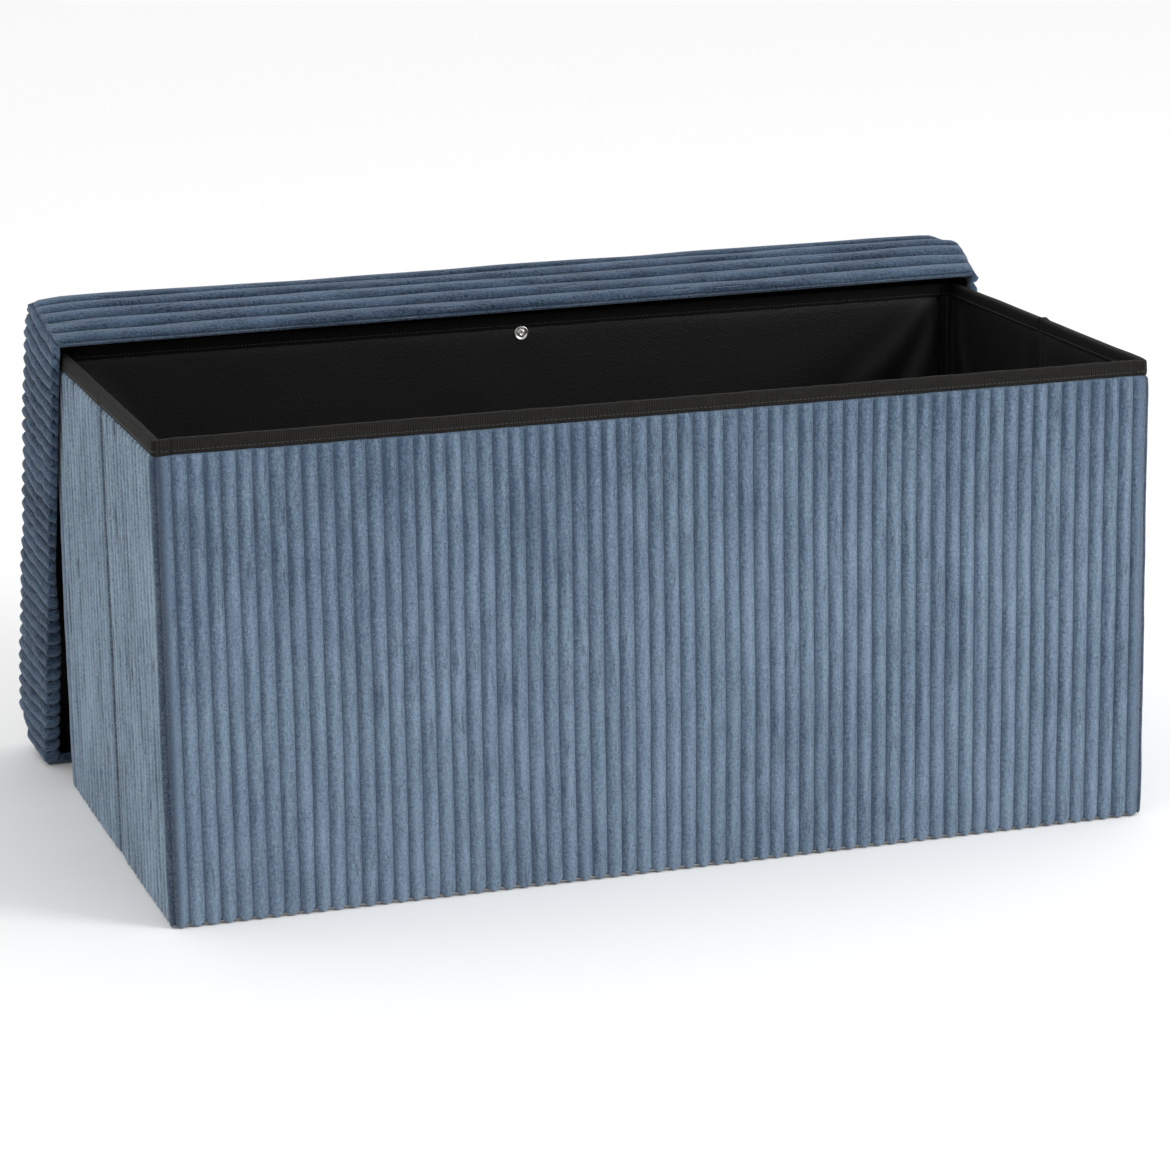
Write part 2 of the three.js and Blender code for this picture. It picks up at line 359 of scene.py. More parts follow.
def bend(piece, where):
    """Fixes a piece at a corner or at the left crease where it stands, with its transform baked into its
    mesh.
    """
    if where == "front_left_corner":
        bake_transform(piece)
    elif where == "front_right_corner":
        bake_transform(piece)
    elif where == "back_left_corner":
        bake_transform(piece)
    elif where == "back_right_corner":
        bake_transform(piece)
    elif where == "left_crease":
        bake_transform(piece)


cloth_pieces = {}
q_start = 0.0
for patch, q_end in PATCHES:
    piece = corduroy_patch(patch, q_start, q_end)
    cloth_pieces[patch] = piece
    if "corner" in patch:
        bend(piece, patch)
    else:
        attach(piece, f"{patch}_wall")
        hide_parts(f"{patch}_cover")
        if patch != "back":
            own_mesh(piece)
    q_start = q_end

# ---------------------------------------------------------------- tape and lining, round the rim
TAPE_SECTION = np.array([
    (1.15, -11.0), (0.75, -11.05), (0.42, -10.6), (0.28, -9.6), (0.28, -8.0), (0.34, -6.0),
    (0.42, -3.6), (0.50, -1.8), (0.75, -0.8), (1.3, -0.2), (2.2, 0.02), (3.9, 0.1), (5.4, 0.02),
    (6.5, -0.25), (7.1, -0.9), (7.35, -1.9), (7.44, -3.6), (7.50, -6.0), (7.52, -8.0), (7.52, -9.6),
    (7.42, -10.6), (7.15, -11.05), (6.8, -11.0), (6.65, -9.5), (6.6, -6), (6.5, -2.5), (6.1, -1.2),
    (5.2, -0.85), (3.9, -0.8), (2.4, -0.85), (1.6, -1.3), (1.3, -2.6), (1.2, -6), (1.15, -9.5),
]) * MM
CREASE_HALF = 5.5 * MM
TAPE_TURN, LINING_TURN = 6.0 * MM, 9.9 * MM
LINING = 0.7 * MM
STITCH_DROP = 8.4 * MM
# the tape stands up in a knot at the right side's crease, and dips a little at the corners
KNOT, KNOT_WIDTH = 1.5 * MM, 4.5 * MM
DIP, DIP_WIDTH = 0.6 * MM, 5.0 * MM
# how each patch runs: a straight side from one place to another, or round a corner
RUNS = {
    "left_front": ("left", CREASE_Y - CREASE_HALF, SIDE_FRONT_END),
    "front_left_corner": ("corner", (-1, -1), ("left", SIDE_FRONT_END), ("front", -FRONT_END), 180),
    "front": ("front", -FRONT_END, FRONT_END),
    "front_right_corner": ("corner", (1, -1), ("front", FRONT_END), ("right", SIDE_FRONT_END), 270),
    "right_front": ("right", SIDE_FRONT_END, CREASE_Y - 0.2 * MM),
    "right_rear": ("right", CREASE_Y + 0.2 * MM, SIDE_REAR_END),
    "back_right_corner": ("corner", (1, 1), ("right", SIDE_REAR_END), ("back", FRONT_END), 0),
    "back": ("back", FRONT_END, -FRONT_END),
    "back_left_corner": ("corner", (-1, 1), ("back", -FRONT_END), ("left", SIDE_REAR_END), 90),
    "left_rear": ("left", SIDE_REAR_END, CREASE_Y + CREASE_HALF),
    "left_crease": ("left", CREASE_Y + CREASE_HALF, CREASE_Y - CREASE_HALF),
}


def beside(side, along, depth):
    """A point on one side, depth in from the cover's face."""
    return {"left": (-HALF_X + depth, along), "right": (HALF_X - depth, along),
            "front": (along, FRONT_Y + depth), "back": (along, REAR_Y - depth)}[side]


def run_points(patch, depth, radius, spacing=4 * MM):
    """The patch's stations in plan at that depth; corners turn at that radius measured at the face."""
    run = RUNS[patch]
    if run[0] != "corner":
        count = max(int(abs(run[2] - run[1]) / spacing), 8) + 1
        return np.array([beside(run[0], v, depth) for v in np.linspace(run[1], run[2], count)])
    _, (sx, sy), first, last, start = run
    turn = max(radius - depth, 0.25 * MM)
    corner = np.array([sx * (HALF_X - depth - turn), (REAR_Y if sy > 0 else -FRONT_Y) * sy])
    corner[1] -= sy * (depth + turn)
    angles = np.radians(np.linspace(start, start + 90, 7))
    arc = corner + turn * np.stack([np.cos(angles), np.sin(angles)], 1)
    lead, trail = np.array(beside(*first, depth)), np.array(beside(*last, depth))
    before = [lead + (arc[0] - lead) * f for f in np.linspace(0, 1, 7)[:-1]]
    after = [arc[-1] + (trail - arc[-1]) * f for f in np.linspace(0, 1, 7)[1:]]
    return np.array(before + list(arc) + after)


def travel(points):
    return np.append(0, np.cumsum(np.linalg.norm(np.diff(points, axis=0), axis=1)))


def place_on(piece, patch):
    if is_flat(patch):
        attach(piece, f"{patch}_wall")
    else:
        bend(piece, patch)


def tape(patch):
    """The rim's folded tape along one patch, a closed channel with slightly uneven edges."""
    across = travel(TAPE_SECTION)
    middle = run_points(patch, WALL / 2, TAPE_TURN)
    count = len(middle)
    grid = np.zeros((len(TAPE_SECTION), count, 3))
    far = middle.sum(1) + 3 * middle[:, 0]
    lean = 0.16 * MM * soft_noise(far, far * 0, 22 * MM, 1, 21)
    rise = 0.22 * MM * soft_noise(far, far * 0 + 5, 35 * MM, 1, 22)
    knot = np.hypot(middle[:, 0] - HALF_X + WALL / 2, middle[:, 1] - CREASE_Y)
    rise = rise - 0.15 * MM + KNOT * bell(knot, KNOT_WIDTH)
    from_corner = np.hypot(np.abs(middle[:, 0]) - HALF_X + WALL / 2,
                           np.minimum(middle[:, 1] - FRONT_Y, REAR_Y - middle[:, 1]) - WALL / 2)
    rise = rise - DIP * bell(from_corner, DIP_WIDTH)
    for k, (depth, height) in enumerate(TAPE_SECTION):
        low = 1.0 if height < -9 * MM else 0.35
        grid[k, :, :2] = run_points(patch, depth, TAPE_TURN)
        grid[k, :, 2] = RIM_Z + height + rise
        outward = (grid[k, :, :2] - middle) / max(abs(depth - WALL / 2), 1e-4)
        grid[k, :, :2] += outward * (lean * low)[:, None] * (depth < WALL / 2)
    sections = len(TAPE_SECTION)
    # the last row of points joins on to the first
    faces = (np.array(grid_faces(sections + 1, count)) % (sections * count)).tolist()
    flat_from = len(faces)
    faces.append([k * count for k in range(sections)])
    faces.append([k * count + count - 1 for k in range(sections)][::-1])
    t = travel(middle)
    uv = np.stack(np.meshgrid(t, across), -1).reshape(-1, 2)
    piece = make_mesh(f"{patch}_tape", grid.reshape(-1, 3), faces, uv, flat_from)
    place_on(piece, patch)
    if is_flat(patch):
        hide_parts(f"{patch}_binding")
    return piece


def stitches(patch, pitch=3.3 * MM):
    """Two rows of thread through the tape, near its lower edges."""
    middle = run_points(patch, WALL / 2, TAPE_TURN, 0.5 * MM)
    t = travel(middle)
    spots = np.arange(pitch, t[-1] - pitch / 2, pitch)
    theta = np.linspace(0, 2 * np.pi, 6, endpoint=False)
    verts, faces = [], []
    for depth in (0.22 * MM, WALL + 0.18 * MM):
        line = run_points(patch, depth, TAPE_TURN, 0.5 * MM)
        for spot in spots:
            ends = [np.array([np.interp(spot + o * pitch * 0.36, t, line[:, i]) for i in (0, 1)]
                             + [RIM_Z - STITCH_DROP]) for o in (-1, -0.8, 0, 0.8, 1)]
            way = ends[-1] - ends[0]
            way /= np.linalg.norm(way)
            side = np.array([way[1], -way[0], 0])
            faces += tube_faces(5, 6, start=len(verts))
            for centre, width in zip(ends, (0.08, 0.24, 0.30, 0.24, 0.08)):
                for angle in theta:
                    verts.append(centre + MM * width * (side * math.cos(angle) * 0.8
                                                        + np.array([0, 0, 1]) * math.sin(angle)))
    piece = make_mesh(f"{patch}_tape_stitches", verts, faces, np.zeros((len(verts), 2)))
    place_on(piece, patch)
    return piece


# soft folds in the lining: patch, one end and the other as (along, up), width, height, in mm
FOLDS = [
    ("back", (357, 338), (318, 214), 8, 4.6), ("back", (361, 300), (338, 176), 7, 3.8),
    ("back", (345, 334), (285, 262), 9, 2.8), ("back", (352, 250), (340, 90), 9, 1.2),
    ("back", (-352, 330), (-300, 240), 9, 1.2), ("back", (120, 250), (-60, 232), 14, 0.7),
    ("right_rear", (150, 330), (96, 200), 9, 2.8), ("right_rear", (165, 250), (130, 90), 9, 2.4),
    ("right_rear", (20, 320), (40, 120), 8, 1.2), ("right_front", (-20, 330), (-60, 150), 9, 1.3),
    ("right_front", (-150, 300), (-120, 120), 9, 1.2), ("left_rear", (150, 320), (100, 160), 9, 1.3),
    ("left_rear", (30, 300), (60, 90), 9, 1.1), ("left_front", (-40, 330), (-90, 140), 9, 1.3),
    ("left_front", (-150, 280), (-130, 80), 8, 1.1), ("front", (-300, 320), (-240, 120), 10, 1.2),
    ("front", (40, 310), (-30, 100), 11, 1.0), ("front", (310, 320), (270, 150), 10, 1.2),
]


def fold_height(patch, along, z):
    height = np.zeros(along.shape)
    for where, a, b, width, rise in FOLDS:
        if where != patch:
            continue
        a, b = np.array(a) * MM, np.array(b) * MM
        way = b - a
        f = ((along - a[0]) * way[0] + (z - a[1]) * way[1]) / (way @ way)
        off = ((along - a[0]) * way[1] - (z - a[1]) * way[0]) / np.linalg.norm(way)
        off = off + 3 * MM * np.sin(f * 5)
        width_here = width * MM * (0.6 + 0.8 * np.clip(f, 0, 1))
        ends = smooth(f * 3 + 0.6) * smooth((1.25 - f) * 2.2)
        height += rise * MM * bell(off, width_here) * ends
    return height


def lining(patch):
    """The lining on the inside of one patch: a thin sheet with soft folds."""
    bottom = (0.2 if patch == "back" else 4) * MM
    depth = WALL - 0.05 * MM
    face, behind = [run_points(patch, d, LINING_TURN, 6 * MM) for d in (depth, depth - LINING)]
    t = travel(face)
    z = np.append(np.linspace(bottom, TAPE_Z - 6 * MM, 56), TAPE_Z + np.array([-3, -0.6, 0.9]) * MM)
    inward = (face - behind) / LINING
    along = face[:, 0] if patch in ("front", "back") else face[:, 1]
    A, Z = np.meshgrid(along, z)
    calm = (smooth(np.minimum(t, t[-1] - t) / (10 * MM)) * smooth((TAPE_Z - Z) / (9 * MM))
            * smooth((Z - 14 * MM) / (40 * MM)))
    folds = fold_height(patch, A, Z)
    rise = (folds + 0.35 * MM * (1 + soft_noise(A, Z, 45 * MM, 60 * MM, 31))) * calm
    # the upper edge is tucked in under the tape
    rise = rise * is_flat(patch) - 0.45 * MM * smooth((Z - TAPE_Z + 1.5 * MM) / (1.5 * MM))
    grid = np.dstack([face + inward * rise[..., None], Z])
    back_grid = np.dstack([behind + inward * np.minimum(rise, rise * 0.8)[..., None], Z])
    uv = np.dstack([np.tile(t, (len(z), 1)), Z])
    # the fold attribute marks where a painted highlight goes, along the crests of the folds
    fold_highlight = {"fold": np.clip(folds * calm / (4.5 * MM), 0, 1)}
    piece = shell(f"{patch}_lining_cloth", grid, back_grid, uv, fold_highlight, flip=True)
    place_on(piece, patch)
    if is_flat(patch):
        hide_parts(f"{patch}_lining")
        if patch == "back":
            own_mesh(piece)
        elif patch == "front":
            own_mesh(piece)
        else:
            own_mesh(piece)
    return piece


tape_pieces = [tape(patch) for patch in RUNS]
stitch_pieces = [stitches(patch) for patch in RUNS if patch != "left_crease"]
lining_pieces = [lining(patch) for patch in RUNS]


# ---------------------------------------------------------------- base flap and press stud
def base_flap():
    """The stiff base in its cloth sleeve: flat, soft at the edges, with a faint wave."""
    low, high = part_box("base_sleeve")
    half, front, rear, top = high.x - 2.5 * MM, low.y, high.y, high.z
    near = np.array([0, 0.6, 1.5, 3, 6]) * MM
    xs, ys = [np.concatenate([a + near, np.linspace(a, b, count)[2:-2], b - near[::-1]])
              for a, b, count in ((-half, half, 72), (front, rear, 38))]
    X, Y = np.meshgrid(xs, ys)
    edge = np.minimum(np.minimum(X + half, half - X), np.minimum(Y - front, rear - Y))
    radius = 7 * MM
    cx, cy = np.maximum(np.abs(X) - (half - radius), 0), np.maximum(front + radius - Y, 0)
    reach = np.hypot(cx, cy)
    square = np.maximum(np.maximum(cx, cy), 1e-9)
    pull = np.where((cx > 0) & (cy > 0), square / np.maximum(reach, 1e-9), 1)
    X = np.sign(X) * (np.abs(X) - cx + cx * pull)
    Y = Y + cy - cy * pull
    wave = 0.25 * MM * soft_noise(X, Y, 60 * MM, 50 * MM, 41) * smooth(edge / (15 * MM))
    round_off = 1.3 * MM * (1 - smooth(edge / (2.6 * MM)) ** 0.5)
    seam = -0.35 * MM * bell(edge - 7 * MM, 0.8 * MM)
    upper = np.dstack([X, Y, top - 0.3 * MM + wave - round_off + seam])
    lower = np.dstack([X, Y, low.z + round_off])
    sleeve = shell("base_sleeve_cloth", upper, lower, np.dstack([X, Y]))
    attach(sleeve, "base_flap")
    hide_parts("base_sleeve", "base_board")
    return sleeve


def lathe(name, profile, place, facing, steps=48):
    """A turned piece: (radius, height) pairs in mm round an axis at place."""
    z_axis = Vector(facing).normalized()
    turn = z_axis.to_track_quat("Z", "Y").to_matrix()
    angles = np.linspace(0, 2 * np.pi, steps, endpoint=False)
    verts = []
    for radius, height in profile:
        for angle in angles:
            spot = Vector((radius * math.cos(angle), radius * math.sin(angle), height))
            verts.append(Vector(place) + turn @ spot * MM)
    return make_mesh(name, verts, tube_faces(len(profile), steps), np.zeros((len(verts), 2)))


stud_low, stud_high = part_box("snap_stud")
stud_place = ((stud_low.x + stud_high.x) / 2, REAR_Y - WALL, (stud_low.z + stud_high.z) / 2)
stud = lathe("press_stud", [
    (1.9, -3.9), (1.9, -0.4), (5.4, -0.4), (5.8, -0.1), (5.85, 0.5), (5.6, 0.95), (5.1, 1.1), (4.6, 0.95),
    (4.2, 0.55), (3.9, 0.42), (2.7, 0.42), (2.45, 0.6), (2.35, 1.1), (2.4, 1.55), (2.2, 1.85), (1.8, 1.9),
    (1.35, 1.8), (1.1, 1.4), (1.0, 0.9), (0.3, 0.85),
], stud_place, (0, -1, 0))
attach(stud, "back_wall")
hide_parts("snap_stud")

socket_low, socket_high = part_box("snap_socket")
socket_place = ((socket_low.x + socket_high.x) / 2, (socket_low.y + socket_high.y) / 2, 0)
socket = lathe("press_socket", [
    (6.0, 0.9), (6.0, 3.55), (5.85, 3.8), (5.3, 3.9), (4.7, 3.75), (4.2, 3.6), (3.4, 3.6), (3.0, 3.4),
    (2.8, 2.9), (2.8, 2.0), (0.3, 1.9),
], socket_place, (0, 0, 1))
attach(socket, "base_flap")
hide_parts("snap_socket")
sleeve = base_flap()

# ---------------------------------------------------------------- lid
board_mesh = frame["nodes"]["lid_board"].data
board_points = np.unique(np.round([v.co[:] for v in board_mesh.vertices], 6), axis=0)
board_centre = board_points.mean(0)
axes = np.linalg.svd(board_points - board_centre)[2]
lid_x = Vector(axes[0] * np.sign(axes[0][0]))
lid_y = Vector(axes[1] * -np.sign(axes[1][2]))
lid_z = lid_x.cross(lid_y)


def node_in_lid(node):
    """A node's extent in the lid's own axes, measured from the board's centre."""
    points = np.array([v.co[:] for v in frame["nodes"][node].data.vertices]) - board_centre
    return points @ np.array([lid_x, lid_y, lid_z]).T


cover_points = node_in_lid("lid_cover")
lip = cover_points[:, 2].min()
PAD_TOP = cover_points[:, 2].max() - lip
at_lip = cover_points[cover_points[:, 2] < lip + 1 * MM]
LIP_X, LIP_Y = np.abs(at_lip[:, 0]).max(), np.abs(at_lip[:, 1]).max()
PAD_X, PAD_Y = np.abs(cover_points[:, 0]).max(), np.abs(cover_points[:, 1]).max()
lid_origin = Vector(board_centre) + lid_z * lip
LID_FRAME = Matrix.Translation(lid_origin) @ Matrix((lid_x, lid_y, lid_z)).transposed().to_4x4()


def in_place(points):
    """Points given in the lid's own axes, where the lid leans."""
    world = np.array(LID_FRAME)
    return points @ world[:3, :3].T + world[:3, 3]


tray_points = node_in_lid("lid_lining")
TRAY_TOP = tray_points[:, 2].max() - 0.8 * MM - lip
TRAY_X, TRAY_Y = np.abs(tray_points[:, 0]).max() - 0.6 * MM, np.abs(tray_points[:, 1]).max() - 0.6 * MM

PAD_ROUND = 5.7 * MM
END_RELIEF, LONG_RELIEF = 4.4 * MM, 3.2 * MM
END_PLUMP, LONG_PLUMP = 2.6 * MM, 1.6 * MM
# along the long edges the pad sags: in, down, and how far from the edge it starts
SAG_IN, SAG_DOWN, SAG_REACH = 2.5 * MM, 5.0 * MM, 13 * MM
# the top's corners are soft: how far they draw in along x, y and z, and how far from the corner
TIP_X, TIP_Y, TIP_Z, TIP_REACH = 8 * MM, 7 * MM, 3 * MM, 30 * MM


def box_surface(xs, ys, rows, top, radius):
    """A rounded box open below. rows go down the sides as (z, half length, half depth).
    Returns welded points, normals, the flat place of each, faces, and each face corner's patch place."""
    key_of, flat, faces, corner_uv = {}, [], [], []
    z0, a_top, b_top = rows[0]

    def patch(grid, uv, flip):
        index = np.zeros(grid.shape[:2], int)
        for i in range(grid.shape[0]):
            for j in range(grid.shape[1]):
                key = tuple(np.round(grid[i, j] * 1e6).astype(int))
                if key not in key_of:
                    key_of[key] = len(flat)
                    flat.append(grid[i, j])
                index[i, j] = key_of[key]
        cells = np.array(grid_faces(*index.shape, flip=flip))
        faces.extend(index.ravel()[cells].tolist())
        corner_uv.append(uv.reshape(-1, 2)[cells.ravel()])
        return index

    # flat place: x, y, z, half length, half depth, row
    count = len(rows)
    X, Y = np.meshgrid(xs * a_top, ys * b_top)
    whole = np.ones(X.shape)
    patch(np.dstack([X, Y, whole * z0, whole * a_top, whole * b_top, whole * 0]),
          np.dstack([Y, X]), False)
    z, a, b = np.array(rows).T
    down = np.append(0, np.cumsum(np.hypot(np.diff(z), np.diff(a))))
    loops = []
    for side, on_end in ((1, True), (1, False), (-1, True), (-1, False)):
        steps = ys if on_end else xs
        across, A = np.meshgrid(steps, a)
        B, Z, R, D = (np.outer(v, np.ones(len(steps))) for v in (b, z, np.arange(count), down))
        if on_end:
            place, where = (side * A, across * B), (across * b_top, side * (a_top + D))
        else:
            place, where = (across * A, side * B), (side * (b_top + D), across * a_top)
        loops.append(patch(np.dstack([*place, Z, A, B, R]), np.dstack(where), (side > 0) == on_end))
    flat = np.array(flat)
    half = flat[:, 3:5]
    turn = np.clip(radius - (np.array([a_top, b_top]) - half).max(1) * 0.5, 0.6 * MM, radius)
    inner = np.column_stack([
        np.clip(flat[:, 0], -(half[:, 0] - turn), half[:, 0] - turn),
        np.clip(flat[:, 1], -(half[:, 1] - turn), half[:, 1] - turn),
        np.minimum(flat[:, 2], top - radius)])
    out = flat[:, :3] - inner
    normal = out / np.maximum(np.linalg.norm(out, axis=1), 1e-9)[:, None]
    reach = np.where(flat[:, 2] > top - radius, radius, turn)
    points = inner + normal * reach[:, None]
    east, north, west, south = loops[0][-1], loops[1][-1], loops[2][-1], loops[3][-1]
    ring = list(south) + list(east)[1:] + list(north[::-1])[1:] + list(west[::-1])[1:-1]
    return points, normal, flat, faces, np.concatenate(corner_uv), down, ring


CROWN, CROWN_QUICK = 8.5 * MM, 8.0 * MM


def crown_field():
    """How far the pad stands up over its board: a thin copy is filled with air as cloth, held at
    its skirts, and the height it takes is read back."""
    nx, ny = 49, 27
    xs, ys = np.linspace(-PAD_X, PAD_X, nx), np.linspace(-PAD_Y, PAD_Y, ny)
    X, Y = np.meshgrid(xs, ys)
    form = bpy.data.meshes.new("pad_form")
    shape = bmesh.new()
    bmesh.ops.create_cube(shape, size=1)
    for v in shape.verts:
        v.co = Vector((v.co.x * 2 * PAD_X, v.co.y * 2 * PAD_Y, (v.co.z + 0.5) * PAD_TOP))
    shape.to_mesh(form)
    shape.free()
    pad = bpy.data.objects.new("pad_form", form)
    bpy.context.scene.collection.objects.link(pad)
    bpy.context.view_layer.objects.active = pad
    pad.data.remesh_voxel_size = 6 * MM
    bpy.ops.object.voxel_remesh()
    held = pad.vertex_groups.new(name="held")
    held.add([v.index for v in pad.data.vertices if v.co.z < PAD_TOP - 9 * MM], 1.0, "REPLACE")
    cloth = pad.modifiers.new("cloth", "CLOTH")
    cloth.settings.quality = 6
    cloth.settings.use_pressure = True
    cloth.settings.uniform_pressure_force = 4
    cloth.settings.effector_weights.gravity = 0
    cloth.settings.vertex_group_mass = "held"
    cloth.settings.tension_stiffness = cloth.settings.compression_stiffness = 12
    for step in range(1, 21):
        bpy.context.scene.frame_set(step)
    result = pad.evaluated_get(bpy.context.evaluated_depsgraph_get())
    tree = BVHTree.FromObject(result, bpy.context.evaluated_depsgraph_get())
    height = np.zeros(X.shape)
    for i in range(ny):
        for j in range(nx):
            hit = tree.ray_cast(Vector((X[i, j] * 0.995, Y[i, j] * 0.995, 1)), Vector((0, 0, -1)))[0]
            height[i, j] = (hit.z - PAD_TOP) if hit is not None else 0
    bpy.context.scene.frame_set(1)
    bpy.data.objects.remove(pad)
    height = np.clip(height, 0, None)
    print("pad crown", float(height.max()))
    height *= CROWN / max(height.max(), 1e-6)
    height[[0, -1]] = 0
    height[:, [0, -1]] = 0
    return xs, ys, height


def bilinear(xs, ys, field, x, y):
    u = np.clip((x - xs[0]) / (xs[1] - xs[0]), 0, len(xs) - 1.001)
    v = np.clip((y - ys[0]) / (ys[1] - ys[0]), 0, len(ys) - 1.001)
    i, j = v.astype(int), u.astype(int)
    f, g = u - j, v - i
    return ((field[i, j] * (1 - f) + field[i, j + 1] * f) * (1 - g)
            + (field[i + 1, j] * (1 - f) + field[i + 1, j + 1] * f) * g)


RIBS_DEEP, RIBS_SKIRT, PER_RIB = 34, 5, 8


def pad_surface():
    """The plain pad: its top, its skirts, and rows that wrap the lip and go up behind the lining.
    Returns the row of the lip, then what box_surface returns."""
    ys = rib_places(RIBS_DEEP, PER_RIB) / RIBS_DEEP * 2 - 1
    near = np.array([0, 1.2, 2.6, 4.2, 6, 8, 10.5, 14, 19, 26]) * MM / PAD_X
    xs = np.concatenate([-1 + near, np.linspace(-1 + near[-1], 1 - near[-1], 84)[1:-1], (1 - near)[::-1]])
    z = PAD_TOP - rib_places(RIBS_SKIRT, PER_RIB) / RIBS_SKIRT * (PAD_TOP - 0.6 * MM)
    rows = [(h, LIP_X + (PAD_X - LIP_X) * f, LIP_Y + (PAD_Y - LIP_Y) * f) for h, f in zip(z, z / PAD_TOP)]
    wrap = [(0.1, 0.3), (-0.25, 1.0), (-0.4, 2.2), (-0.4, 3.4), (-0.1, 4.3), (0.4, 4.7), (0.9, 4.72),
            (4, 4.75), (24, 4.75), (43.95, 4.75)]
    rows += [(h * MM, LIP_X - inset * MM, LIP_Y - inset * MM) for h, inset in wrap]
    return len(z) - 1, box_surface(xs, ys, rows, PAD_TOP, PAD_ROUND)


